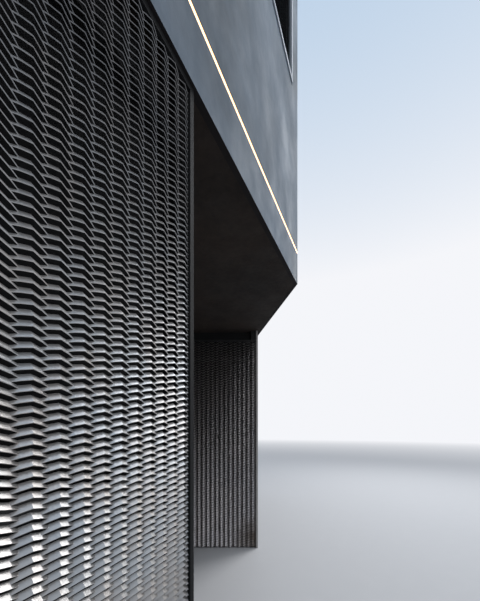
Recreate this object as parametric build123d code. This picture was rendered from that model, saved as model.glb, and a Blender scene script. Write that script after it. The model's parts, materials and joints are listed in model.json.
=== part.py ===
from build123d import *
import math
import os

# Detached two-storey house with a folded street front. A smooth upper storey hangs over a ground
# storey clad in pleated metal mesh, and a porch is cut out under the fold of the front.
# X runs along the street front, Y runs into the house, Z is up. The origin is on the ground, in the
# middle of the plan. All sizes are in millimetres and all angles in degrees.

# Plan of the upper storey
street_front_length = 8480.0
folded_front_length = 5000.0
fold_angle = 35.8
house_depth = 9000.0

# Plan of the ground storey, measured on the face of the mesh
front_setback = 12.0
other_setback = 50.0
porch_width = 1511.0
porch_depth = 3090.0
cheek_distance = 1249.0
cheek_angle = 115.0

# Heights
ground_storey_height = 2800.0
floor_slab_thickness = 120.0
upper_slab_thickness = 400.0
upper_room_height = 2700.0
roof_slab_thickness = 250.0
parapet_height = 350.0
coping_thickness = 20.0
coping_overhang = 15.0

# Walls
ground_wall_thickness = 200.0
upper_wall_thickness = 250.0
facade_skin_thickness = 32.0

# Mesh cladding and its carriers
cladding_depth = 80.0
mesh_pitch = 56.0
pleat_depth = 18.0
sheet_thickness = 3.0
mesh_ground_gap = 15.0
cheek_header = 140.0
front_panel_count = 4
corner_post_width = 22.0
head_trim_height = 22.0
rail_height = 40.0
rail_wall = 3.0
lower_rail_height = 150.0
upper_rail_gap = 250.0

# Light line in the upper storey
light_height = 262.0
light_groove_height = 25.0
light_groove_depth = 20.0
light_strip_depth = 18.0
light_end_gap = 150.0

# Upper windows
window_width = 2400.0
window_height = 1400.0
window_sill_height = 1540.0
fold_window_gap = 180.0
left_window_gap = 1400.0
rear_window_gap = 1500.0
surround_projection = 8.0
surround_gap = 10.0
surround_width = 30.0
surround_depth = 34.0
flange_thickness = 6.0
flange_lip = 15.0
screen_depth = 18.0
window_frame_setback = 110.0
window_frame_width = 55.0
window_frame_depth = 70.0
glass_thickness = 24.0

# Entrance in the porch
door_width = 980.0
door_height = 2300.0
door_offset = 190.0
door_frame_width = 45.0
door_frame_depth = 90.0
door_frame_setback = 30.0
door_gap = 4.0
door_thickness = 60.0
pull_bar_width = 30.0
pull_bar_depth = 15.0
pull_bar_length = 1600.0
pull_bar_inset = 90.0
pull_bar_standoff = 50.0
pull_bar_stem = 20.0
hinge_count = 3
hinge_height = 100.0
hinge_depth = 30.0
hinge_end_gap = 220.0

# Glazed doors to the garden
garden_width = 4200.0
garden_height = 2350.0
garden_lights = 3
garden_frame_width = 60.0
garden_frame_depth = 90.0
garden_frame_setback = 70.0

# Sides of the plan lines, in order round the house
FRONT, FOLD, RIGHT, REAR, LEFT = range(5)
G_FRONT, G_SIDE, G_BACK, G_CHEEK, G_FOLD, G_RIGHT, G_REAR, G_LEFT = range(8)

LOW = (Align.MIN, Align.MIN, Align.MIN)
UP = (0, 0, 1)


class Outline:
    """A closed plan line that keeps the house on its left-hand side."""

    def __init__(self, points):
        self.points = points

    def point(self, index):
        return self.points[index % len(self.points)]

    def run(self, side):
        return self.point(side + 1) - self.point(side)

    def along(self, side):
        return self.run(side).normalized()

    def inward(self, side):
        return Vector(-self.along(side).Y, self.along(side).X)

    def corner(self, index, before, after):
        """Where the side before a corner, set in by before, meets the next one, set in by after."""
        start = self.point(index) + self.inward(index - 1) * before
        target = self.point(index) + self.inward(index) * after
        first = self.along(index - 1)
        second = self.along(index)
        distance = (target - start).cross(second).Z / first.cross(second).Z
        return start + first * distance

    def inset(self, depths):
        """The same line with each side set in by its own depth."""
        count = len(self.points)
        return Outline([self.corner(i, depths[i - 1], depths[i]) for i in range(count)])

    def even_inset(self, depth):
        return self.inset([depth] * len(self.points))

    def band(self, side, outer, inner):
        """The plan of a wall along one side, mitred into its neighbours."""
        return [
            self.corner(side, outer, outer),
            self.corner(side + 1, outer, outer),
            self.corner(side + 1, inner, inner),
            self.corner(side, inner, inner),
        ]

    def place(self, side, distance, depth, height):
        """A local frame on one side, with X along it, Y into the house and Z up."""
        spot = self.point(side) + self.along(side) * distance + self.inward(side) * depth
        return Plane(origin=(spot.X, spot.Y, height), x_dir=self.along(side), z_dir=UP).location


def prism(points, low, high):
    """A plan shape raised from one height to another."""
    face = make_face(Polyline(*[(p.X, p.Y) for p in points], close=True))
    return Pos(0, 0, low) * extrude(face, amount=high - low, dir=UP)


def flat_vector(length, angle):
    return Vector(length * math.cos(math.radians(angle)), length * math.sin(math.radians(angle)))


def crossing(start, angle, other, other_angle):
    """Where two plan lines, each given by a point and an angle, cross."""
    first = flat_vector(1, angle)
    second = flat_vector(1, other_angle)
    return start + first * ((other - start).cross(second).Z / first.cross(second).Z)


# Plan lines
fold_run = flat_vector(folded_front_length, fold_angle)
total_length = street_front_length + fold_run.X
left_x = -total_length / 2
front_y = -house_depth / 2
fold_corner = Vector(left_x + street_front_length, front_y)

upper_line = Outline([
    Vector(left_x, front_y),
    fold_corner,
    fold_corner + fold_run,
    Vector(left_x + total_length, front_y + house_depth),
    Vector(left_x, front_y + house_depth),
])

setback_line = upper_line.inset([front_setback] + [other_setback] * 4)
porch_near = setback_line.point(FOLD) - Vector(porch_width, 0)
porch_near_back = porch_near + Vector(0, porch_depth)
cheek_front = setback_line.point(FOLD) + flat_vector(cheek_distance, fold_angle)
porch_far_back = crossing(cheek_front, cheek_angle, porch_near_back, 0)

mesh_line = Outline([
    setback_line.point(0),
    porch_near,
    porch_near_back,
    porch_far_back,
    cheek_front,
    setback_line.point(RIGHT),
    setback_line.point(REAR),
    setback_line.point(LEFT),
])

clad_sides = [G_FRONT, G_SIDE, G_CHEEK, G_FOLD, G_RIGHT]
cladding = [cladding_depth if side in clad_sides else 0.0 for side in range(8)]
ground_wall_line = mesh_line.inset(cladding)

# Levels
soffit_z = ground_storey_height
upper_floor_z = soffit_z + upper_slab_thickness
roof_z = upper_floor_z + upper_room_height
roof_top_z = roof_z + roof_slab_thickness
parapet_z = roof_top_z + parapet_height
sill_z = soffit_z + window_sill_height
light_z = soffit_z + light_height
mesh_top = soffit_z - head_trim_height
cheek_top = soffit_z - cheek_header


# Ground storey

def ground_floor_slab():
    return prism(ground_wall_line.even_inset(ground_wall_thickness).points, 0, floor_slab_thickness)


def ground_wall(side):
    return prism(ground_wall_line.band(side, 0, ground_wall_thickness), 0, soffit_z)


def door_hole():
    """The clear hole in the back wall of the porch, measured from its left end."""
    start = cladding_depth + door_offset
    spot = ground_wall_line.place(G_BACK, start, -1, floor_slab_thickness)
    return spot * Box(door_width, ground_wall_thickness + 2, door_height, align=LOW)


def garden_start():
    return (ground_wall_line.run(G_REAR).length - garden_width) / 2


def garden_hole():
    spot = ground_wall_line.place(G_REAR, garden_start(), -1, floor_slab_thickness)
    return spot * Box(garden_width, ground_wall_thickness + 2, garden_height, align=LOW)


def ring(width, height, depth, border, inner_border_low):
    """A rectangular frame, with a border of its own along the bottom."""
    outer = Box(width, depth, height, align=LOW)
    hole = Box(width - 2 * border, depth, height - border - inner_border_low, align=LOW)
    return outer - Pos(border, 0, inner_border_low) * hole


def entrance_door_frame():
    """The frame with the hinges that carry the leaf, on the side away from the pull bar."""
    frame = ring(door_width, door_height, door_frame_depth, door_frame_width, 0)
    hinge = Box(door_gap, hinge_depth, hinge_height, align=LOW)
    hinge_x = door_width - door_frame_width - door_gap
    hinge_y = door_frame_depth - door_thickness
    leaf_height = door_height - door_frame_width
    step = (leaf_height - 2 * hinge_end_gap - hinge_height) / (hinge_count - 1)
    for number in range(hinge_count):
        frame += Pos(hinge_x, hinge_y, hinge_end_gap + number * step) * hinge
    start = cladding_depth + door_offset
    return ground_wall_line.place(G_BACK, start, door_frame_setback, floor_slab_thickness) * frame


def entrance_door_leaf():
    width = door_width - 2 * door_frame_width - 2 * door_gap
    height = door_height - door_frame_width - 2 * door_gap
    start = cladding_depth + door_offset + door_frame_width + door_gap
    depth = door_frame_setback + door_frame_depth - door_thickness
    spot = ground_wall_line.place(G_BACK, start, depth, floor_slab_thickness + door_gap)
    return spot * Box(width, door_thickness, height, align=LOW)


def entrance_pull_bar():
    """A flat upright bar on two stems, near the closing edge of the door."""
    start = cladding_depth + door_offset + door_frame_width + door_gap + pull_bar_inset
    depth = door_frame_setback + door_frame_depth - door_thickness
    low = floor_slab_thickness + (door_height - pull_bar_length) / 2
    bar = Pos(0, -pull_bar_standoff, 0) * Box(pull_bar_width, pull_bar_depth, pull_bar_length, align=LOW)
    stem_length = pull_bar_standoff - pull_bar_depth
    stem = Box(pull_bar_stem, stem_length, pull_bar_stem, align=LOW)
    stem_x = (pull_bar_width - pull_bar_stem) / 2
    for height in (pull_bar_length * 0.15, pull_bar_length * 0.85 - pull_bar_stem):
        bar += Pos(stem_x, -stem_length, height) * stem
    return ground_wall_line.place(G_BACK, start, depth, low) * bar


def garden_light_width():
    clear = garden_width - (garden_lights + 1) * garden_frame_width
    return clear / garden_lights


def garden_door_frame():
    frame = Box(garden_width, garden_frame_depth, garden_height, align=LOW)
    width = garden_light_width()
    height = garden_height - 2 * garden_frame_width
    for light in range(garden_lights):
        x = garden_frame_width + light * (width + garden_frame_width)
        frame -= Pos(x, 0, garden_frame_width) * Box(width, garden_frame_depth, height, align=LOW)
    spot = ground_wall_line.place(G_REAR, garden_start(), garden_frame_setback, floor_slab_thickness)
    return spot * frame


def garden_door_glass():
    width = garden_light_width()
    height = garden_height - 2 * garden_frame_width
    depth = garden_frame_setback + (garden_frame_depth - glass_thickness) / 2
    panes = []
    for light in range(garden_lights):
        start = garden_start() + garden_frame_width + light * (width + garden_frame_width)
        spot = ground_wall_line.place(G_REAR, start, depth, floor_slab_thickness + garden_frame_width)
        panes.append(spot * Box(width, glass_thickness, height, align=LOW))
    return panes


# Mesh cladding

def is_clad(side):
    return side % 8 in clad_sides


def post_width(index):
    """Posts stand where the mesh turns or ends on an outer corner, and not against the porch back."""
    against_porch_back = index in (G_BACK, G_CHEEK)
    return 0.0 if against_porch_back else corner_post_width


def post_plan(index):
    """The plan of a post, which closes the cavity behind the mesh. Where mesh meets mesh, its back
    spreads out behind both sheets."""
    width = corner_post_width
    if is_clad(index) and is_clad(index - 1):
        insets = [
            (0, 0),
            (0, width),
            (pleat_depth, width),
            (pleat_depth, cladding_depth),
            (cladding_depth, cladding_depth),
            (cladding_depth, pleat_depth),
            (width, pleat_depth),
            (width, 0),
        ]
    else:
        before = width if is_clad(index) else cladding_depth
        after = width if is_clad(index - 1) else cladding_depth
        insets = [(0, 0), (0, after), (before, after), (before, 0)]
    return [mesh_line.corner(index, before, after) for before, after in insets]


def mesh_reach(side):
    """Where the mesh of one side starts and ends, clear of the posts or walls beside it."""
    origin = mesh_line.point(side)
    direction = mesh_line.along(side)
    first = post_width(side)
    last = post_width(side + 1)
    starts = [mesh_line.corner(side, first, depth) for depth in (0, pleat_depth)]
    ends = [mesh_line.corner(side + 1, depth, last) for depth in (0, pleat_depth)]
    start = max((spot - origin).dot(direction) for spot in starts)
    end = min((spot - origin).dot(direction) for spot in ends)
    return start, end


def mesh_columns(side):
    start, end = mesh_reach(side)
    return max(1, round((end - start) / mesh_pitch))


def pleated_sheet(start, pitch, columns, depth, height):
    """An upright sheet of mesh columns, each one folded outward along its middle."""
    valley = depth - sheet_thickness
    outer = [(start, valley)]
    for column in range(columns):
        outer.append((start + (column + 0.5) * pitch, 0))
        outer.append((start + (column + 1) * pitch, valley))
    inner = [(x, y + sheet_thickness) for x, y in reversed(outer)]
    face = make_face(Polyline(*(outer + inner), close=True))
    return extrude(face, amount=height, dir=UP)


def pleated_panel(side, first, last, top):
    """One panel of the cladding, from one mesh column of its side to another."""
    start, end = mesh_reach(side)
    pitch = (end - start) / mesh_columns(side)
    height = top - mesh_ground_gap
    sheet = pleated_sheet(start + first * pitch, pitch, last - first, pleat_depth, height)
    return mesh_line.place(side, 0, 0, mesh_ground_gap) * sheet


def front_mesh_panel(number):
    columns = mesh_columns(G_FRONT)
    first = round(columns * number / front_panel_count)
    last = round(columns * (number + 1) / front_panel_count)
    return pleated_panel(G_FRONT, first, last, mesh_top)


def whole_side_panels(side, panels, top):
    columns = mesh_columns(side)
    edges = [round(columns * n / panels) for n in range(panels + 1)]
    return [pleated_panel(side, edges[n], edges[n + 1], top) for n in range(panels)]


def carrier_plan(side, outer, inner):
    """The plan of a bar along one side between two depths, mitred into the next clad side."""
    before = [outer, inner] if is_clad(side - 1) else [0, 0]
    after = [outer, inner] if is_clad(side + 1) else [0, 0]
    return [
        mesh_line.corner(side, before[0], outer),
        mesh_line.corner(side + 1, outer, after[0]),
        mesh_line.corner(side + 1, inner, after[1]),
        mesh_line.corner(side, before[1], inner),
    ]


def rail(side, low):
    """A hollow bar behind the mesh, that carries it off the wall."""
    bar = prism(carrier_plan(side, pleat_depth, cladding_depth), low, low + rail_height)
    hollow_plan = carrier_plan(side, pleat_depth + rail_wall, cladding_depth - rail_wall)
    return bar - prism(hollow_plan, low + rail_wall, low + rail_height - rail_wall)


def head_trim(side, top):
    """The flat edge bar that covers the upper edge of the mesh."""
    return prism(carrier_plan(side, 0, pleat_depth), top, top + head_trim_height)


def mesh_frame(side, post_corners, top):
    """The three rails of one side, its head trim and the posts that belong to it."""
    posts = [prism(post_plan(index), 0, soffit_z) for index in post_corners]
    all_posts = [prism(post_plan(index), 0, soffit_z) for index in (side, side + 1) if post_width(index)]
    middle = (lower_rail_height + top - upper_rail_gap) / 2
    bars = [rail(side, low) for low in (lower_rail_height, middle, top - upper_rail_gap)]
    bars.append(head_trim(side, top))
    for post in all_posts:
        bars = [bar - post for bar in bars]
    return posts + bars


# Upper storey

def upper_floor_slab():
    return prism(upper_line.even_inset(facade_skin_thickness).points, soffit_z, upper_floor_z)


def upper_wall(side):
    """A wall whose facade skin runs down over the edge of the slab."""
    skin = prism(upper_line.band(side, 0, facade_skin_thickness), soffit_z, upper_floor_z)
    wall = prism(upper_line.band(side, 0, upper_wall_thickness), upper_floor_z, parapet_z)
    solid = skin + wall
    for start in window_starts(side):
        hole = Box(window_width, upper_wall_thickness + 2, window_height, align=LOW)
        solid -= upper_line.place(side, start, -1, sill_z) * hole
    if side in (FRONT, FOLD):
        solid -= prism(light_plan(-1, light_groove_depth), light_z, light_z + light_groove_height)
    return solid


def window_starts(side):
    """Where each window of one side starts, measured from the side's first corner."""
    length = upper_line.run(side).length
    centred = (length - window_width) / 2
    return {
        FRONT: [left_window_gap, length - fold_window_gap - window_width],
        FOLD: [centred],
        RIGHT: [centred],
        REAR: [rear_window_gap, length - rear_window_gap - window_width],
        LEFT: [centred],
    }[side]


def light_plan(outer, inner):
    """The plan of the light line, which turns with the fold of the front."""
    start = upper_line.point(FRONT) + upper_line.along(FRONT) * light_end_gap
    end = upper_line.point(RIGHT) - upper_line.along(FOLD) * light_end_gap
    return [
        start + upper_line.inward(FRONT) * outer,
        upper_line.corner(FOLD, outer, outer),
        end + upper_line.inward(FOLD) * outer,
        end + upper_line.inward(FOLD) * inner,
        upper_line.corner(FOLD, inner, inner),
        start + upper_line.inward(FRONT) * inner,
    ]


def light_strip():
    plan = light_plan(light_groove_depth - light_strip_depth, light_groove_depth)
    return prism(plan, light_z, light_z + light_groove_height)


def roof_slab():
    return prism(upper_line.even_inset(upper_wall_thickness).points, roof_z, roof_top_z)


def coping_piece(side):
    plan = upper_line.band(side, -coping_overhang, upper_wall_thickness + coping_overhang)
    return prism(plan, parapet_z, parapet_z + coping_thickness)


def window_surround():
    """A slim bar round the screen, held clear of the wall by a flange behind it."""
    width = window_width - 2 * surround_gap
    height = window_height - 2 * surround_gap
    bar = ring(width, height, surround_depth, surround_width, surround_width)
    bar = Pos(surround_gap, -surround_projection, surround_gap) * bar
    border = surround_gap + surround_width + flange_lip
    flange = ring(window_width, window_height, flange_thickness, border, border)
    return bar + Pos(0, surround_depth - surround_projection, 0) * flange


def window_screen():
    """A pleated sheet inside the surround, with its back on the flange."""
    inset = surround_gap + surround_width
    depth = surround_depth - surround_projection - screen_depth
    width = window_width - 2 * inset
    columns = max(1, round(width / mesh_pitch))
    sheet = pleated_sheet(0, width / columns, columns, screen_depth, window_height - 2 * inset)
    return Pos(inset, depth, inset) * sheet


def window_frame():
    frame = ring(window_width, window_height, window_frame_depth, window_frame_width, window_frame_width)
    return Pos(0, window_frame_setback, 0) * frame


def window_glass():
    depth = window_frame_setback + (window_frame_depth - glass_thickness) / 2
    width = window_width - 2 * window_frame_width
    height = window_height - 2 * window_frame_width
    return Pos(window_frame_width, depth, window_frame_width) * Box(width, glass_thickness, height, align=LOW)


def in_windows(sides, piece):
    """Copies of one piece, one in each window of the given sides."""
    return [
        upper_line.place(side, start, 0, sill_z) * piece
        for side in sides
        for start in window_starts(side)
    ]


# Sub-parts by name
street_sides = (FRONT, FOLD)
garden_sides = (RIGHT, REAR, LEFT)
all_sides = street_sides + garden_sides

parts = {
    "ground_floor_slab": ground_floor_slab(),
    "ground_front_wall": ground_wall(G_FRONT),
    "porch_side_wall": ground_wall(G_SIDE),
    "porch_back_wall": ground_wall(G_BACK) - door_hole(),
    "porch_cheek_wall": ground_wall(G_CHEEK),
    "ground_fold_wall": ground_wall(G_FOLD),
    "ground_right_wall": ground_wall(G_RIGHT),
    "ground_rear_wall": ground_wall(G_REAR) - garden_hole(),
    "ground_left_wall": ground_wall(G_LEFT),
    "entrance_door_frame": entrance_door_frame(),
    "entrance_door_leaf": entrance_door_leaf(),
    "entrance_pull_bar": entrance_pull_bar(),
    "garden_door_frame": garden_door_frame(),
    "garden_door_glass": garden_door_glass(),
    "porch_side_mesh": whole_side_panels(G_SIDE, 1, mesh_top),
    "porch_cheek_mesh": whole_side_panels(G_CHEEK, 1, cheek_top),
    "fold_mesh_panels": whole_side_panels(G_FOLD, 2, mesh_top),
    "right_mesh_panels": whole_side_panels(G_RIGHT, 3, mesh_top),
    "front_mesh_frame": mesh_frame(G_FRONT, (G_FRONT, G_SIDE), mesh_top),
    "porch_side_rails": mesh_frame(G_SIDE, (), mesh_top),
    "porch_cheek_frame": mesh_frame(G_CHEEK, (G_FOLD,), cheek_top),
    "fold_mesh_rails": mesh_frame(G_FOLD, (), mesh_top),
    "right_mesh_frame": mesh_frame(G_RIGHT, (G_RIGHT, G_REAR), mesh_top),
    "upper_floor_slab": upper_floor_slab(),
    "upper_front_wall": upper_wall(FRONT),
    "upper_fold_wall": upper_wall(FOLD),
    "upper_right_wall": upper_wall(RIGHT),
    "upper_rear_wall": upper_wall(REAR),
    "upper_left_wall": upper_wall(LEFT),
    "light_strip": light_strip(),
    "street_window_surrounds": in_windows(street_sides, window_surround()),
    "garden_window_surrounds": in_windows(garden_sides, window_surround()),
    "street_window_screens": in_windows(street_sides, window_screen()),
    "garden_window_screens": in_windows(garden_sides, window_screen()),
    "upper_window_frames": in_windows(all_sides, window_frame()),
    "upper_window_glass": in_windows(all_sides, window_glass()),
    "roof_slab": roof_slab(),
    "parapet_coping": [coping_piece(side) for side in all_sides],
}
for number in range(front_panel_count):
    parts["front_mesh_panel_" + str(number + 1)] = front_mesh_panel(number)

os.makedirs("parts", exist_ok=True)
for name, shape in parts.items():
    solids = shape if isinstance(shape, list) else [shape]
    export_step(Compound(children=solids) if len(solids) > 1 else solids[0], "parts/" + name + ".step")
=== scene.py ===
import json
import math

import bpy
from mathutils import Matrix, Vector


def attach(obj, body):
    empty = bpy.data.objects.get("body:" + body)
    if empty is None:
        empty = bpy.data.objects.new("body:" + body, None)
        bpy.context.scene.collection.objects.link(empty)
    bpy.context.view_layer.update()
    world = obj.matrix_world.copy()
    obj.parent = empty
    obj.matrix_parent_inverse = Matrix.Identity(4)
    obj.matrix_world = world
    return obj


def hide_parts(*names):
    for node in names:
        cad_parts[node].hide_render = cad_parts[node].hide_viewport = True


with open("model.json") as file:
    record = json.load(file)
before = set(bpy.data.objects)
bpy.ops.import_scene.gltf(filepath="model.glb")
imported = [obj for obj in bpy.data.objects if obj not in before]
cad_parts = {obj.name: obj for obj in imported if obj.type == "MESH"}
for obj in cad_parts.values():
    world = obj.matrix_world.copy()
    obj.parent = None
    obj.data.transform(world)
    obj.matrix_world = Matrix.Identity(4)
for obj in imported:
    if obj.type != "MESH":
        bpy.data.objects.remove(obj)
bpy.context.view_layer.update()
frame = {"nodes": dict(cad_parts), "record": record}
nodes = frame["nodes"]

# Detached house with a folded upper storey over a ground storey in expanded metal. Sizes in metres.

# Turns of the walls, seen from above, from the long front
LONG_FRONT = 0.0
FOLD = math.radians(35.8)
RIGHT_SIDE = math.radians(90.0)
PORCH_SIDE = math.radians(90.0)
PORCH_CHEEK = math.radians(-65.0)
REAR_SIDE = math.radians(180.0)
LEFT_SIDE = math.radians(-90.0)
WINDOW_SIDES = (LONG_FRONT, FOLD, RIGHT_SIDE, REAR_SIDE, LEFT_SIDE)

# Expanded metal of the cladding: staggered columns of folded plates, linked at their ends
COLUMN_PITCH = 0.0562
ROW_SPACING = 0.02142
PLATE_RUN = 0.0414
PLATE_WIDTH = 0.0161
PLATE_LEAN = math.radians(41.0)
FOLD_HEIGHT = 0.0070
SHEET_THICKNESS = 0.002
FIRST_COLUMN = 0.0175
FIRST_ROW = 0.0045

# A run starts with this many column pairs and rows more than it needs, and is then cut to size
SPARE_COLUMN_PAIRS = 2
SPARE_ROWS = 3

# The sheet on the porch cheek was drawn out a little further than the others
CHEEK_STRETCH = 1.034

# Points closer than this are merged: the ends of the links, and the corners of a CAD copy
LINK_MERGE_GAP = 0.0003
COPY_MERGE_GAP = 0.00001

# Behind the mesh, the rails and the backs of the corner posts are painted black. The rails are flat
# runs no taller than this, away from the floor and the soffit, and the post backs are this wide.
RAIL_HEIGHT = 0.045
RAIL_ZONE = (0.10, 2.66)
# On the porch cheek the zone reaches a little higher, so that the flat run at the cheek's head also takes
# the black: painted shade under the soffit
CHEEK_RAIL_AND_HEAD_SHADE_ZONE = (0.10, 2.69)
POST_BACK_WIDTH = (0.045, 0.079)

# Colours of the raw metal, the heights where its darkening towards the foot and the painted shade at its
# head begin and reach their full tone, and the most that each covers
WARM_METAL = (0.70, 0.665, 0.635)
COOL_METAL = (0.655, 0.665, 0.67)
WORN_METAL = (0.54, 0.53, 0.525)
FOOT_DARKENING = (0.085, 0.076, 0.069)
FOOT_DARKENING_HEIGHTS = (1.70, 0.50)
FOOT_DARKENING_SHARE = 0.90
# Painted shade at the head of the mesh: a dark tone laid over its upper part
PAINTED_HEAD_SHADE = (0.11, 0.11, 0.115)
PAINTED_HEAD_SHADE_HEIGHTS = (1.85, 2.45)
PAINTED_HEAD_SHADE_SHARE = 0.77

# The older metal of the porch cheek, with rust at its outer foot
OLD_METAL = (0.60, 0.555, 0.545)
OLD_WORN_METAL = (0.52, 0.49, 0.49)
RUST = (0.15, 0.115, 0.09)
RUST_SPOT = (3.13, -3.72, 0.12)
RUST_REACH = 0.34

# Tones of the smooth render, and the start of its broad clouding
DEEP_BLUE_GREY = (0.088, 0.110, 0.134)
MID_BLUE_GREY = (0.138, 0.182, 0.234)
CLOUD_BLUE_GREY = (0.173, 0.230, 0.296)
STREAK_BLUE_GREY = (0.070, 0.090, 0.115)
FLECK_BLUE_GREY = (0.104, 0.138, 0.178)
# Painted shade on the render's undersides
PAINTED_UNDERSIDE_SHADE = (0.026, 0.0235, 0.024)
CLOUD_START = (20.5, 3.3, 5.0)

# Stage: a wide floor that fades into a pale backdrop with distance from the house
FLOOR_SIZE = 400
FLOOR_SEEN = (0.52, 0.52, 0.53)
FLOOR_FADE = (8.0, 45.0)
HORIZON_COLOUR = (0.91, 0.92, 0.955)
ZENITH_COLOUR = (0.36, 0.54, 0.75)
SKY_CLIMB = (0.45, 1.0)
SOFT_SKY_LEVEL = 0.66

# The light strip's diffuser
DIFFUSER = (0.9, 0.75, 0.5)
AMBER_GLOW = (0.90, 0.49, 0.20)
PALE_AMBER_GLOW = (1.0, 0.57, 0.25)
GLOW_STRENGTH = 2.6

# Lamps, aimed at the mesh of the long front: name, place, width, height and power
LAMP_AIM = (0.6, -4.5, 1.4)
LAMPS = (
    ("top_softbox", (4.6, -6.7, 11.3), 8.0, 5.0, 360),
    ("end_softbox", (9.85, -6.4, 8.6), 4.0, 6.0, 600),
)

# Camera at eye height, close to the mesh. The picture's sizes are in pixels, the sensor in mm.
EYE = Vector((-0.2677, -5.1, 1.52))
VIEW_TURN = math.radians(25.0)
PHOTO_HEIGHT = 601
FOCAL_PIXELS = 285.0
HORIZON_ROW = 430.0
SENSOR = 36.0
NEAR_CLIP = 0.05
FAR_CLIP = 500


# Modelling helpers

def deselect_all():
    bpy.ops.object.select_all(action="DESELECT")


def make_active(piece):
    deselect_all()
    piece.select_set(True)
    bpy.context.view_layer.objects.active = piece


def apply_place(piece):
    make_active(piece)
    bpy.ops.object.transform_apply(location=True, rotation=True, scale=True)


def pick_points(piece, wanted):
    """In edit mode, selects the points whose place passes the test."""
    bpy.ops.mesh.select_all(action="DESELECT")
    bpy.ops.object.mode_set(mode="OBJECT")
    for point in piece.data.vertices:
        point.select = wanted(point.co)
    bpy.ops.object.mode_set(mode="EDIT")
    bpy.ops.mesh.select_mode(type="VERT")


def shift_picked(x=0.0, y=0.0, z=0.0):
    """Moves the selected points."""
    bpy.ops.transform.translate(value=(x, y, z))


def draw_out(x=0.0, y=0.0, z=0.0):
    """Extrudes the edges between the selected points."""
    bpy.ops.mesh.select_mode(type="EDGE")
    bpy.ops.mesh.extrude_region_move(TRANSFORM_OT_translate={"value": (x, y, z)})


def merge_points(piece, gap):
    """Merges the points of a piece that are closer than the gap."""
    make_active(piece)
    bpy.ops.object.mode_set(mode="EDIT")
    bpy.ops.mesh.select_all(action="SELECT")
    bpy.ops.mesh.remove_doubles(threshold=gap)
    bpy.ops.object.mode_set(mode="OBJECT")


def repeat(piece, step, count):
    """Copies the piece along a step with an applied array."""
    make_active(piece)
    bpy.ops.object.modifier_add(type="ARRAY")
    array = piece.modifiers[-1]
    array.use_relative_offset = False
    array.use_constant_offset = True
    array.constant_offset_displace = step
    array.count = count
    bpy.ops.object.modifier_apply(modifier=array.name)


def thicken(piece, thickness):
    """Gives a sheet its thickness, half on each side."""
    make_active(piece)
    bpy.ops.object.modifier_add(type="SOLIDIFY")
    solidify = piece.modifiers[-1]
    solidify.thickness = thickness
    solidify.offset = 0.0
    bpy.ops.object.modifier_apply(modifier=solidify.name)


def cut_away(piece, spot, normal):
    """Cuts the piece with a plane and removes what lies on the side the normal points to."""
    make_active(piece)
    bpy.ops.object.mode_set(mode="EDIT")
    bpy.ops.mesh.select_all(action="SELECT")
    bpy.ops.mesh.bisect(plane_co=spot, plane_no=normal, clear_outer=True)
    bpy.ops.object.mode_set(mode="OBJECT")


def join_all(pieces):
    """Joins the pieces into the first of them."""
    deselect_all()
    for piece in pieces:
        piece.select_set(True)
    bpy.context.view_layer.objects.active = pieces[0]
    bpy.ops.object.join()


# Places along a wall

def along_wall(turn):
    return Vector((math.cos(turn), math.sin(turn), 0))


def into_wall(turn):
    return Vector((-math.sin(turn), math.cos(turn), 0))


def points_of(piece):
    return [Vector(point.co) for point in piece.data.vertices]


def wall_frame(spots, turn):
    """The start corner, length, depth, foot and head of points that lie along a wall at that turn."""
    along = along_wall(turn)
    inward = into_wall(turn)
    runs = [spot.dot(along) for spot in spots]
    depths = [spot.dot(inward) for spot in spots]
    heights = [spot.z for spot in spots]
    origin = along * min(runs) + inward * min(depths)
    return origin, max(runs) - min(runs), max(depths) - min(depths), min(heights), max(heights)


def stand_at(piece, origin, turn):
    """Puts a piece made along X at a wall's start corner, and turns it with the wall."""
    piece.matrix_world = Matrix.Translation(origin) @ Matrix.Rotation(turn, 4, "Z")
    apply_place(piece)


# Expanded metal

def mesh_plate():
    """One folded plate of expanded metal, with the two short strands that link it to the next column."""
    link = COLUMN_PITCH - PLATE_RUN
    rise = PLATE_WIDTH / 2 * math.cos(PLATE_LEAN)
    lean = PLATE_WIDTH / 2 * math.sin(PLATE_LEAN)
    climb = ROW_SPACING / 2 - rise
    fold_out = FOLD_HEIGHT * math.cos(PLATE_LEAN)
    fold_up = FOLD_HEIGHT * math.sin(PLATE_LEAN)
    between_fold_and_end = PLATE_RUN / 4
    past_end = PLATE_RUN * 0.6
    deselect_all()
    bpy.ops.mesh.primitive_grid_add(x_subdivisions=2, y_subdivisions=2, size=2, rotation=(math.pi / 2, 0, 0))
    plate = bpy.context.active_object
    bpy.ops.transform.resize(value=(PLATE_RUN / 2, 1.0, rise))
    apply_place(plate)
    bpy.ops.object.mode_set(mode="EDIT")
    pick_points(plate, lambda spot: spot.z > rise / 2)
    shift_picked(y=lean)
    pick_points(plate, lambda spot: spot.z < -rise / 2)
    shift_picked(y=-lean)
    pick_points(plate, lambda spot: abs(spot.x) < between_fold_and_end)
    shift_picked(y=-fold_out, z=fold_up)
    pick_points(plate, lambda spot: spot.x > between_fold_and_end and spot.z > -rise / 2)
    draw_out(x=link, y=-lean, z=climb)
    pick_points(plate, lambda spot: between_fold_and_end < spot.x < past_end and spot.z < rise / 2)
    draw_out(x=link, y=lean, z=-climb)
    pick_points(plate, lambda spot: abs(spot.x) < past_end and abs(spot.z - fold_up / 2) < rise / 2)
    bpy.ops.mesh.select_mode(type="EDGE")
    bpy.ops.mesh.dissolve_edges(use_verts=False)
    bpy.ops.object.mode_set(mode="OBJECT")
    return plate


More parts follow.
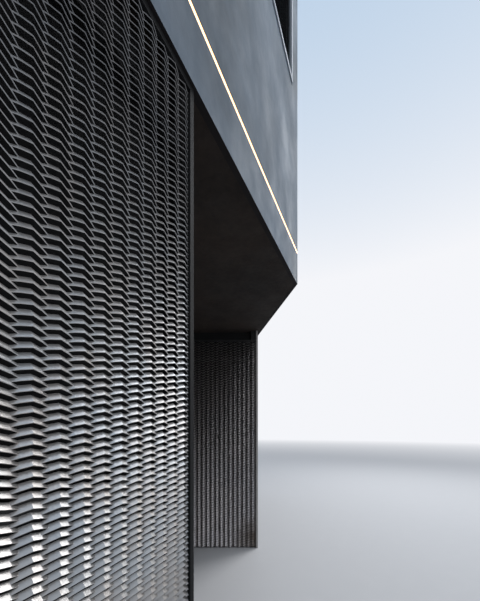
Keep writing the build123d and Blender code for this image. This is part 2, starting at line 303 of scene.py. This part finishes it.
def expanded_sheet(name, start, length, low, high):
    """A flat run of expanded metal that faces -Y, from X 0, which lies at start along the wall."""
    column_pair = 2 * COLUMN_PITCH
    pairs = math.ceil(length / COLUMN_PITCH / 2) + SPARE_COLUMN_PAIRS
    rows = math.ceil((high - low) / ROW_SPACING) + SPARE_ROWS
    sheet = mesh_plate()
    sheet.name = name
    repeat(sheet, (0, 0, ROW_SPACING), rows)
    make_active(sheet)
    bpy.ops.object.duplicate()
    next_column = bpy.context.active_object
    bpy.ops.transform.translate(value=(COLUMN_PITCH, 0, ROW_SPACING / 2))
    join_all([sheet, next_column])
    repeat(sheet, (column_pair, 0, 0), pairs)
    first_column = (FIRST_COLUMN - start) % column_pair - column_pair
    first_row = (FIRST_ROW - low) % ROW_SPACING - 2 * ROW_SPACING
    sheet.location = (first_column, 0, low + first_row)
    apply_place(sheet)
    merge_points(sheet, LINK_MERGE_GAP)
    cut_away(sheet, (0, 0, 0), (-1, 0, 0))
    cut_away(sheet, (length, 0, 0), (1, 0, 0))
    cut_away(sheet, (0, 0, low), (0, 0, -1))
    cut_away(sheet, (0, 0, high), (0, 0, 1))
    return sheet


# Nodes that the materials share. All read Object coordinates, in metres.

def new_material(name):
    material = bpy.data.materials.new(name)
    material.use_nodes = True
    return material, material.node_tree, shader_of(material)


def shader_of(material):
    return material.node_tree.nodes["Principled BSDF"]


def feed(tree, socket, value):
    """Gives a socket a number or a colour of three numbers, or links another node's output to it."""
    if isinstance(value, tuple):
        socket.default_value = (*value, 1)
    elif isinstance(value, float):
        socket.default_value = value
    else:
        tree.links.new(value, socket)


def object_place(tree):
    return tree.nodes.new("ShaderNodeTexCoord").outputs["Object"]


def height_of(tree, place):
    axes = tree.nodes.new("ShaderNodeSeparateXYZ")
    tree.links.new(place, axes.inputs[0])
    return axes.outputs["Z"]


def noise(tree, place, scale, detail=3.0, roughness=0.5):
    node = tree.nodes.new("ShaderNodeTexNoise")
    feed(tree, node.inputs["Vector"], place)
    feed(tree, node.inputs["Scale"], scale)
    feed(tree, node.inputs["Detail"], detail)
    feed(tree, node.inputs["Roughness"], roughness)
    return node.outputs["Fac"]


def stretched(tree, place, scale, start=(0.0, 0.0, 0.0)):
    """The place scaled along each axis and moved, for clouds and streaks."""
    node = tree.nodes.new("ShaderNodeMapping")
    node.inputs["Location"].default_value = start
    node.inputs["Scale"].default_value = scale
    tree.links.new(place, node.inputs["Vector"])
    return node.outputs["Vector"]


def span(tree, value, low, high, start=0.0, end=1.0):
    """Maps a value from low..high to start..end and clamps it."""
    node = tree.nodes.new("ShaderNodeMapRange")
    node.inputs["From Min"].default_value = low
    node.inputs["From Max"].default_value = high
    node.inputs["To Min"].default_value = start
    node.inputs["To Max"].default_value = end
    tree.links.new(value, node.inputs["Value"])
    return node.outputs["Result"]


def math_node(tree, operation, *values):
    node = tree.nodes.new("ShaderNodeMath")
    node.operation = operation
    for socket, value in zip(node.inputs, values):
        feed(tree, socket, value)
    return node.outputs[0]


def blend_colours(tree, factor, first, second):
    """Mixes two colours, each written as three numbers or taken from another node."""
    node = tree.nodes.new("ShaderNodeMix")
    node.data_type = "RGBA"
    feed(tree, node.inputs[0], factor)
    feed(tree, node.inputs[6], first)
    feed(tree, node.inputs[7], second)
    return node.outputs[2]


def lay_over(tree, base, colour, mask, share):
    """Lays a colour over a base where the mask is, at a share of its strength."""
    return blend_colours(tree, math_node(tree, "MULTIPLY", mask, share), base, colour)


def facing_down(tree):
    """1 on undersides."""
    geometry = tree.nodes.new("ShaderNodeNewGeometry")
    axes = tree.nodes.new("ShaderNodeSeparateXYZ")
    tree.links.new(geometry.outputs["Normal"], axes.inputs[0])
    return span(tree, axes.outputs["Z"], -0.4, -0.8)


def near_spot(tree, place, spot, reach):
    """1 at a spot, 0 further off than its reach, with an uneven edge."""
    gap = tree.nodes.new("ShaderNodeVectorMath")
    gap.operation = "DISTANCE"
    tree.links.new(place, gap.inputs[0])
    gap.inputs[1].default_value = spot
    ragged = math_node(tree, "MULTIPLY", noise(tree, place, scale=14.0, detail=4.0), reach)
    return span(tree, math_node(tree, "ADD", gap.outputs["Value"], ragged), reach * 1.5, reach * 0.5)


def group_output(group, name, socket_type, value):
    group.interface.new_socket(name=name, in_out="OUTPUT", socket_type=socket_type)
    outlet = next(node for node in group.nodes if node.type == "GROUP_OUTPUT")
    group.links.new(value, outlet.inputs[name])


def weather_group():
    """Masks for the finishes: broad mottling, vertical streaks, fine grain and a bumped normal."""
    group = bpy.data.node_groups.new("weather", "ShaderNodeTree")
    group.interface.new_socket(name="Grain Scale", in_out="INPUT", socket_type="NodeSocketFloat")
    group.interface.new_socket(name="Bump", in_out="INPUT", socket_type="NodeSocketFloat")
    inlet = group.nodes.new("NodeGroupInput")
    group.nodes.new("NodeGroupOutput")
    place = object_place(group)
    broad = noise(group, place, scale=1.7, detail=4.0, roughness=0.55)
    streaks = noise(group, stretched(group, place, (6.0, 6.0, 0.8)), scale=1.0)
    grain = noise(group, place, scale=inlet.outputs["Grain Scale"], detail=4.0)
    bump = group.nodes.new("ShaderNodeBump")
    feed(group, bump.inputs["Distance"], 0.002)
    feed(group, bump.inputs["Strength"], inlet.outputs["Bump"])
    feed(group, bump.inputs["Height"], grain)
    group_output(group, "Mottle", "NodeSocketFloat", span(group, broad, 0.35, 0.65))
    group_output(group, "Streaks", "NodeSocketFloat", span(group, streaks, 0.35, 0.65))
    group_output(group, "Grain", "NodeSocketFloat", span(group, grain, 0.3, 0.7))
    group_output(group, "Normal", "NodeSocketVector", bump.outputs["Normal"])
    return group


weather = weather_group()


def weather_masks(tree, grain_scale, bump):
    node = tree.nodes.new("ShaderNodeGroup")
    node.node_tree = weather
    feed(tree, node.inputs["Grain Scale"], grain_scale)
    feed(tree, node.inputs["Bump"], bump)
    return node.outputs


# Finishes

def aged(name, dark, light, roughness, metallic=0.0, grain_scale=60.0, bump=0.2):
    """A finish that drifts between two close colours, with uneven gloss and a fine surface."""
    material, tree, shader = new_material(name)
    masks = weather_masks(tree, grain_scale, bump)
    mottle = math_node(tree, "MULTIPLY", masks["Mottle"], 0.65)
    drift = math_node(tree, "MULTIPLY_ADD", masks["Grain"], 0.35, mottle)
    feed(tree, shader.inputs["Base Color"], blend_colours(tree, drift, dark, light))
    feed(tree, shader.inputs["Roughness"], span(tree, masks["Streaks"], 0.0, 1.0, *roughness))
    feed(tree, shader.inputs["Normal"], masks["Normal"])
    feed(tree, shader.inputs["Metallic"], metallic)
    return material


def coated_metal(name, dark, light, roughness):
    """Dull coated metal of posts and surrounds."""
    material = aged(name, dark, light, roughness, grain_scale=90.0)
    shader_of(material).inputs["Specular IOR Level"].default_value = 0.2
    return material


def expanded_metal_finish():
    """Raw metal: uneven gloss, warm and cool tints, darkening towards the foot and painted shade at the
    head.
    """
    material, tree, shader = new_material("raw_expanded_metal")
    masks = weather_masks(tree, grain_scale=240.0, bump=0.15)
    place = object_place(tree)
    height = height_of(tree, place)
    tint = span(tree, noise(tree, place, scale=9.0, detail=2.0), 0.4, 0.6)
    metal = blend_colours(tree, tint, WARM_METAL, COOL_METAL)
    worn = lay_over(tree, metal, WORN_METAL, masks["Mottle"], 0.35)
    darkened_foot = lay_over(tree, worn, FOOT_DARKENING, span(tree, height, *FOOT_DARKENING_HEIGHTS), FOOT_DARKENING_SHARE)
    # Painted shade: the mesh turns dark towards its head
    head_shaded = lay_over(tree, darkened_foot, PAINTED_HEAD_SHADE, span(tree, height, *PAINTED_HEAD_SHADE_HEIGHTS), PAINTED_HEAD_SHADE_SHARE)
    feed(tree, shader.inputs["Base Color"], head_shaded)
    feed(tree, shader.inputs["Roughness"], span(tree, masks["Grain"], 0.0, 1.0, start=0.30, end=0.40))
    feed(tree, shader.inputs["Normal"], masks["Normal"])
    feed(tree, shader.inputs["Metallic"], 0.65)
    return material


def weathered_metal_finish():
    """The porch cheek's older sheet: duller and browner, with rust creeping in from its outer foot."""
    material, tree, shader = new_material("weathered_expanded_metal")
    masks = weather_masks(tree, grain_scale=180.0, bump=0.2)
    metal = blend_colours(tree, masks["Mottle"], OLD_METAL, OLD_WORN_METAL)
    rust = near_spot(tree, object_place(tree), RUST_SPOT, RUST_REACH)
    feed(tree, shader.inputs["Base Color"], blend_colours(tree, rust, metal, RUST))
    feed(tree, shader.inputs["Roughness"], span(tree, masks["Grain"], 0.0, 1.0, start=0.46, end=0.56))
    feed(tree, shader.inputs["Metallic"], span(tree, rust, 0.0, 1.0, start=1.0, end=0.3))
    feed(tree, shader.inputs["Normal"], masks["Normal"])
    return material


def trowelled_render_finish():
    """Smooth blue-grey render with soft clouding, trowel streaks that run down it, and painted shade on its
    undersides.
    """
    material, tree, shader = new_material("smooth_render")
    masks = weather_masks(tree, grain_scale=35.0, bump=0.25)
    place = object_place(tree)
    broad_place = stretched(tree, place, (0.75, 0.75, 0.75), CLOUD_START)
    cloud_place = stretched(tree, place, (1.8, 1.8, 2.3))
    streak_place = stretched(tree, place, (4.5, 4.5, 2.8))
    broad = span(tree, noise(tree, broad_place, scale=1.0, detail=2.0), 0.38, 0.62)
    clouds = span(tree, noise(tree, cloud_place, scale=1.0, detail=5.0, roughness=0.62), 0.36, 0.64)
    streaks = span(tree, noise(tree, streak_place, scale=1.0, detail=5.0, roughness=0.7), 0.35, 0.65)
    drifting = blend_colours(tree, broad, DEEP_BLUE_GREY, MID_BLUE_GREY)
    clouded = lay_over(tree, drifting, CLOUD_BLUE_GREY, clouds, 0.5)
    streaked = lay_over(tree, clouded, STREAK_BLUE_GREY, streaks, 0.3)
    flecked = lay_over(tree, streaked, FLECK_BLUE_GREY, masks["Grain"], 0.15)
    # Faces that point down take a near black: painted shade
    colour = blend_colours(tree, facing_down(tree), flecked, PAINTED_UNDERSIDE_SHADE)
    feed(tree, shader.inputs["Base Color"], colour)
    feed(tree, shader.inputs["Roughness"], span(tree, streaks, 0.0, 1.0, start=0.55, end=0.75))
    feed(tree, shader.inputs["Specular IOR Level"], 0.06)
    feed(tree, shader.inputs["Normal"], masks["Normal"])
    return material


def light_finish():
    """Warm diffuser, a little brighter and dimmer along its length."""
    material, tree, shader = new_material("light_diffuser")
    drift = span(tree, noise(tree, object_place(tree), scale=3.0, detail=1.0), 0.35, 0.65)
    glow = blend_colours(tree, drift, AMBER_GLOW, PALE_AMBER_GLOW)
    feed(tree, shader.inputs["Base Color"], DIFFUSER)
    feed(tree, shader.inputs["Emission Color"], glow)
    feed(tree, shader.inputs["Emission Strength"], GLOW_STRENGTH)
    return material


raw_metal = expanded_metal_finish()
weathered_metal = weathered_metal_finish()
rail_paint = aged("rail_paint", (0.006, 0.006, 0.006), (0.014, 0.014, 0.015), roughness=(0.5, 0.7))
# A lighter copy of the posts' edge steel for the porch cheek's trim: painted light, the same steel shown
# lighter
edge_steel_painted_lighter = aged("edge_steel_painted_lighter", (0.34, 0.33, 0.32), (0.50, 0.485, 0.47),
                       roughness=(0.5, 0.68), metallic=0.3, grain_scale=90.0)

# The finish of each material slot in the record
finishes = {
    "structural_concrete": aged("concrete", (0.20, 0.195, 0.185), (0.30, 0.295, 0.28),
                                roughness=(0.8, 0.95), grain_scale=45.0, bump=0.5),
    # The wall behind the mesh: near black, painted shade for the dark cavity behind the mesh
    "dark_wall_render": aged("dark_wall_render", (0.005, 0.005, 0.005), (0.012, 0.012, 0.013),
                             roughness=(0.85, 0.95), grain_scale=40.0, bump=0.5),
    "smooth_render": trowelled_render_finish(),
    # The soffit: a brown coat, made near black as painted shade under the overhang
    "soffit_render": aged("soffit_brown_coat_and_painted_shade", (0.008, 0.0055, 0.0042), (0.032, 0.021, 0.015),
                          roughness=(0.85, 0.95), grain_scale=28.0, bump=0.9),
    "dark_frame_metal": aged("dark_frame_metal", (0.018, 0.019, 0.021), (0.032, 0.034, 0.037),
                             roughness=(0.35, 0.5)),
    "door_metal": aged("door_metal", (0.022, 0.023, 0.025), (0.040, 0.042, 0.045),
                       roughness=(0.4, 0.6), metallic=0.3),
    # The posts' copy of the edge steel, near black; it and the cheek's lighter copy differ by painted light
    # and shade
    "edge_steel": coated_metal("edge_steel", (0.006, 0.0065, 0.007), (0.013, 0.0135, 0.0145),
                               roughness=(0.7, 0.85)),
    "rail_paint": rail_paint,
    "mesh_metal": raw_metal,
    "screen_metal": aged("screen_metal", (0.10, 0.105, 0.11), (0.17, 0.175, 0.18),
                         roughness=(0.4, 0.6), metallic=0.5, grain_scale=120.0),
    # Light metal of the surrounds, with a painted reflection of the sky in their reveals: the blue tint and
    # part of the lightness
    "window_metal": coated_metal("window_metal", (0.27, 0.31, 0.36), (0.36, 0.41, 0.47),
                                 roughness=(0.5, 0.65)),
    "window_glass": aged("window_glass", (0.010, 0.012, 0.014), (0.018, 0.021, 0.024),
                         roughness=(0.03, 0.10), grain_scale=3.0, bump=0.05),
    "roof_covering": aged("roof_covering", (0.22, 0.22, 0.215), (0.33, 0.33, 0.32),
                          roughness=(0.8, 0.95), grain_scale=50.0, bump=0.6),
    "light_diffuser": light_finish(),
}


def finish_node(name, material):
    nodes[name].data.materials.clear()
    nodes[name].data.materials.append(material)


def paint_rails(name, zone):
    """Gives the rails and the post backs behind the mesh the rail paint; the edges keep their steel."""
    mesh = nodes[name].data
    mesh.materials.append(rail_paint)
    for face in mesh.polygons:
        spots = [mesh.vertices[index].co for index in face.vertices]
        heights = [spot.z for spot in spots]
        width = max((spot - other).xy.length for spot in spots for other in spots)
        is_rail = max(heights) - min(heights) < RAIL_HEIGHT and zone[0] < min(heights) < zone[1]
        is_post_back = POST_BACK_WIDTH[0] < width < POST_BACK_WIDTH[1]
        if is_rail or is_post_back:
            face.material_index = 1


for row in frame["record"]["subparts"]:
    finish_node(row["node"], finishes[row["material_slot"]])
# The cheek's trim takes the lighter copy of the edge steel: painted light
finish_node("porch_cheek_frame", edge_steel_painted_lighter)
paint_rails("front_mesh_frame", RAIL_ZONE)
paint_rails("right_mesh_frame", RAIL_ZONE)
# The cheek's head trim takes the black as well: painted shade
paint_rails("porch_cheek_frame", CHEEK_RAIL_AND_HEAD_SHADE_ZONE)


# Cladding and window screens

def clad(name, turn, metal, thickness=0.0, stretch=1.0):
    """Replaces one CAD run of pleated sheet by expanded metal of the same length and height."""
    origin, length, _, low, high = wall_frame(points_of(nodes[name]), turn)
    start = origin.dot(along_wall(turn)) / stretch
    sheet = expanded_sheet(name + "_expanded", start, length / stretch, low, high)
    if thickness:
        thicken(sheet, thickness)
    sheet.scale.x = stretch
    apply_place(sheet)
    reach = FOLD_HEIGHT + PLATE_WIDTH / 2 * math.sin(PLATE_LEAN)
    stand_at(sheet, origin + into_wall(turn) * reach, turn)
    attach(sheet, "root")
    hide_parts(name)
    sheet.data.materials.append(metal)


def loose_parts(name):
    """Copies of the separate solids of a CAD node, each with its own mesh."""
    source = nodes[name]
    copy = source.copy()
    copy.data = source.data.copy()
    copy.parent = None
    copy.matrix_world = Matrix.Identity(4)
    bpy.context.scene.collection.objects.link(copy)
    merge_points(copy, COPY_MERGE_GAP)
    bpy.ops.object.mode_set(mode="EDIT")
    bpy.ops.mesh.select_all(action="SELECT")
    bpy.ops.mesh.separate(type="LOOSE")
    bpy.ops.object.mode_set(mode="OBJECT")
    return list(bpy.context.selected_objects)


def screens(name):
    """Replaces the screens in a CAD node by dark expanded metal, one sheet in each window."""
    sheets = []
    for part in loose_parts(name):
        spots = points_of(part)
        # A screen lies along the wall in which it is thinnest
        turn = min(WINDOW_SIDES, key=lambda side: wall_frame(spots, side)[2])
        origin, length, depth, low, high = wall_frame(spots, turn)
        sheet = expanded_sheet(name + "_expanded", 0.0, length, low, high)
        stand_at(sheet, origin + into_wall(turn) * depth / 2, turn)
        sheets.append(sheet)
        bpy.data.objects.remove(part)
    join_all(sheets)
    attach(sheets[0], "root")
    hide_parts(name)
    sheets[0].data.materials.append(finishes["screen_metal"])


clad("front_mesh_panel_4", LONG_FRONT, raw_metal, thickness=SHEET_THICKNESS)
for number in (1, 2, 3):
    clad("front_mesh_panel_" + str(number), LONG_FRONT, raw_metal)
clad("porch_side_mesh", PORCH_SIDE, raw_metal)
clad("fold_mesh_panels", FOLD, raw_metal)
clad("right_mesh_panels", RIGHT_SIDE, raw_metal)
clad("porch_cheek_mesh", PORCH_CHEEK, weathered_metal, stretch=CHEEK_STRETCH)
screens("street_window_screens")
screens("garden_window_screens")


# Stage, light and camera

def seen_directly(tree):
    """1 for what the camera sees itself, in metal and through glass, 0 for light on other surfaces."""
    path = tree.nodes.new("ShaderNodeLightPath")
    mirrored = math_node(tree, "MAXIMUM", path.outputs["Is Camera Ray"], path.outputs["Is Glossy Ray"])
    return math_node(tree, "MAXIMUM", mirrored, path.outputs["Is Transmission Ray"])


def far_away(tree, near, far):
    """0 close to the house, 1 far out on the floor."""
    length = tree.nodes.new("ShaderNodeVectorMath")
    length.operation = "LENGTH"
    tree.links.new(object_place(tree), length.inputs[0])
    return span(tree, length.outputs["Value"], near, far)


def floor_finish():
    """A pale floor that takes shadows near the house and turns into the backdrop's colour far out."""
    material = aged("pale_floor", (0.31, 0.31, 0.32), (0.33, 0.33, 0.34), roughness=(0.8, 0.9))
    tree = material.node_tree
    shader = shader_of(material)
    lit_floor = shader.inputs["Base Color"].links[0].from_socket
    seen_floor = blend_colours(tree, seen_directly(tree), lit_floor, FLOOR_SEEN)
    feed(tree, shader.inputs["Base Color"], seen_floor)
    glow = tree.nodes.new("ShaderNodeEmission")
    feed(tree, glow.inputs["Color"], HORIZON_COLOUR)
    fade = tree.nodes.new("ShaderNodeMixShader")
    feed(tree, fade.inputs[0], far_away(tree, *FLOOR_FADE))
    feed(tree, fade.inputs[1], shader.outputs[0])
    feed(tree, fade.inputs[2], glow.outputs[0])
    feed(tree, tree.nodes["Material Output"].inputs["Surface"], fade.outputs[0])
    return material


def stage_floor():
    deselect_all()
    bpy.ops.mesh.primitive_plane_add(size=FLOOR_SIZE, location=(0, 0, 0))
    floor = bpy.context.active_object
    floor.name = "pale_floor"
    floor.data.materials.append(floor_finish())


def soft_lamp(name, spot, width, height, power):
    data = bpy.data.lights.new(name, "AREA")
    data.shape = "RECTANGLE"
    data.size = width
    data.size_y = height
    data.energy = power
    light = bpy.data.objects.new(name, data)
    bpy.context.scene.collection.objects.link(light)
    light.location = spot
    light.rotation_euler = (Vector(LAMP_AIM) - Vector(spot)).to_track_quat("-Z", "Y").to_euler()
    light.visible_camera = False


def pale_sky():
    """A backdrop that goes from a pale horizon to light blue overhead, and lights the house evenly."""
    world = bpy.data.worlds.new("pale_sky")
    bpy.context.scene.world = world
    world.use_nodes = True
    tree = world.node_tree
    height = height_of(tree, tree.nodes.new("ShaderNodeTexCoord").outputs["Generated"])
    backdrop = blend_colours(tree, span(tree, height, *SKY_CLIMB), HORIZON_COLOUR, ZENITH_COLOUR)
    level = span(tree, seen_directly(tree), 0.0, 1.0, start=SOFT_SKY_LEVEL, end=1.0)
    background = tree.nodes["Background"]
    feed(tree, background.inputs["Color"], backdrop)
    feed(tree, background.inputs["Strength"], level)


def photo_camera():
    data = bpy.data.cameras.new("photo_view")
    camera = bpy.data.objects.new("photo_view", data)
    bpy.context.scene.collection.objects.link(camera)
    data.sensor_width = SENSOR
    data.lens = FOCAL_PIXELS / PHOTO_HEIGHT * SENSOR
    data.shift_y = (HORIZON_ROW - PHOTO_HEIGHT / 2) / PHOTO_HEIGHT
    data.clip_start = NEAR_CLIP
    data.clip_end = FAR_CLIP
    camera.location = EYE
    camera.rotation_euler = (math.pi / 2, 0, VIEW_TURN - math.pi / 2)
    bpy.context.scene.camera = camera


stage_floor()
for lamp in LAMPS:
    soft_lamp(*lamp)
pale_sky()
photo_camera()
bpy.context.scene.view_settings.view_transform = "Standard"
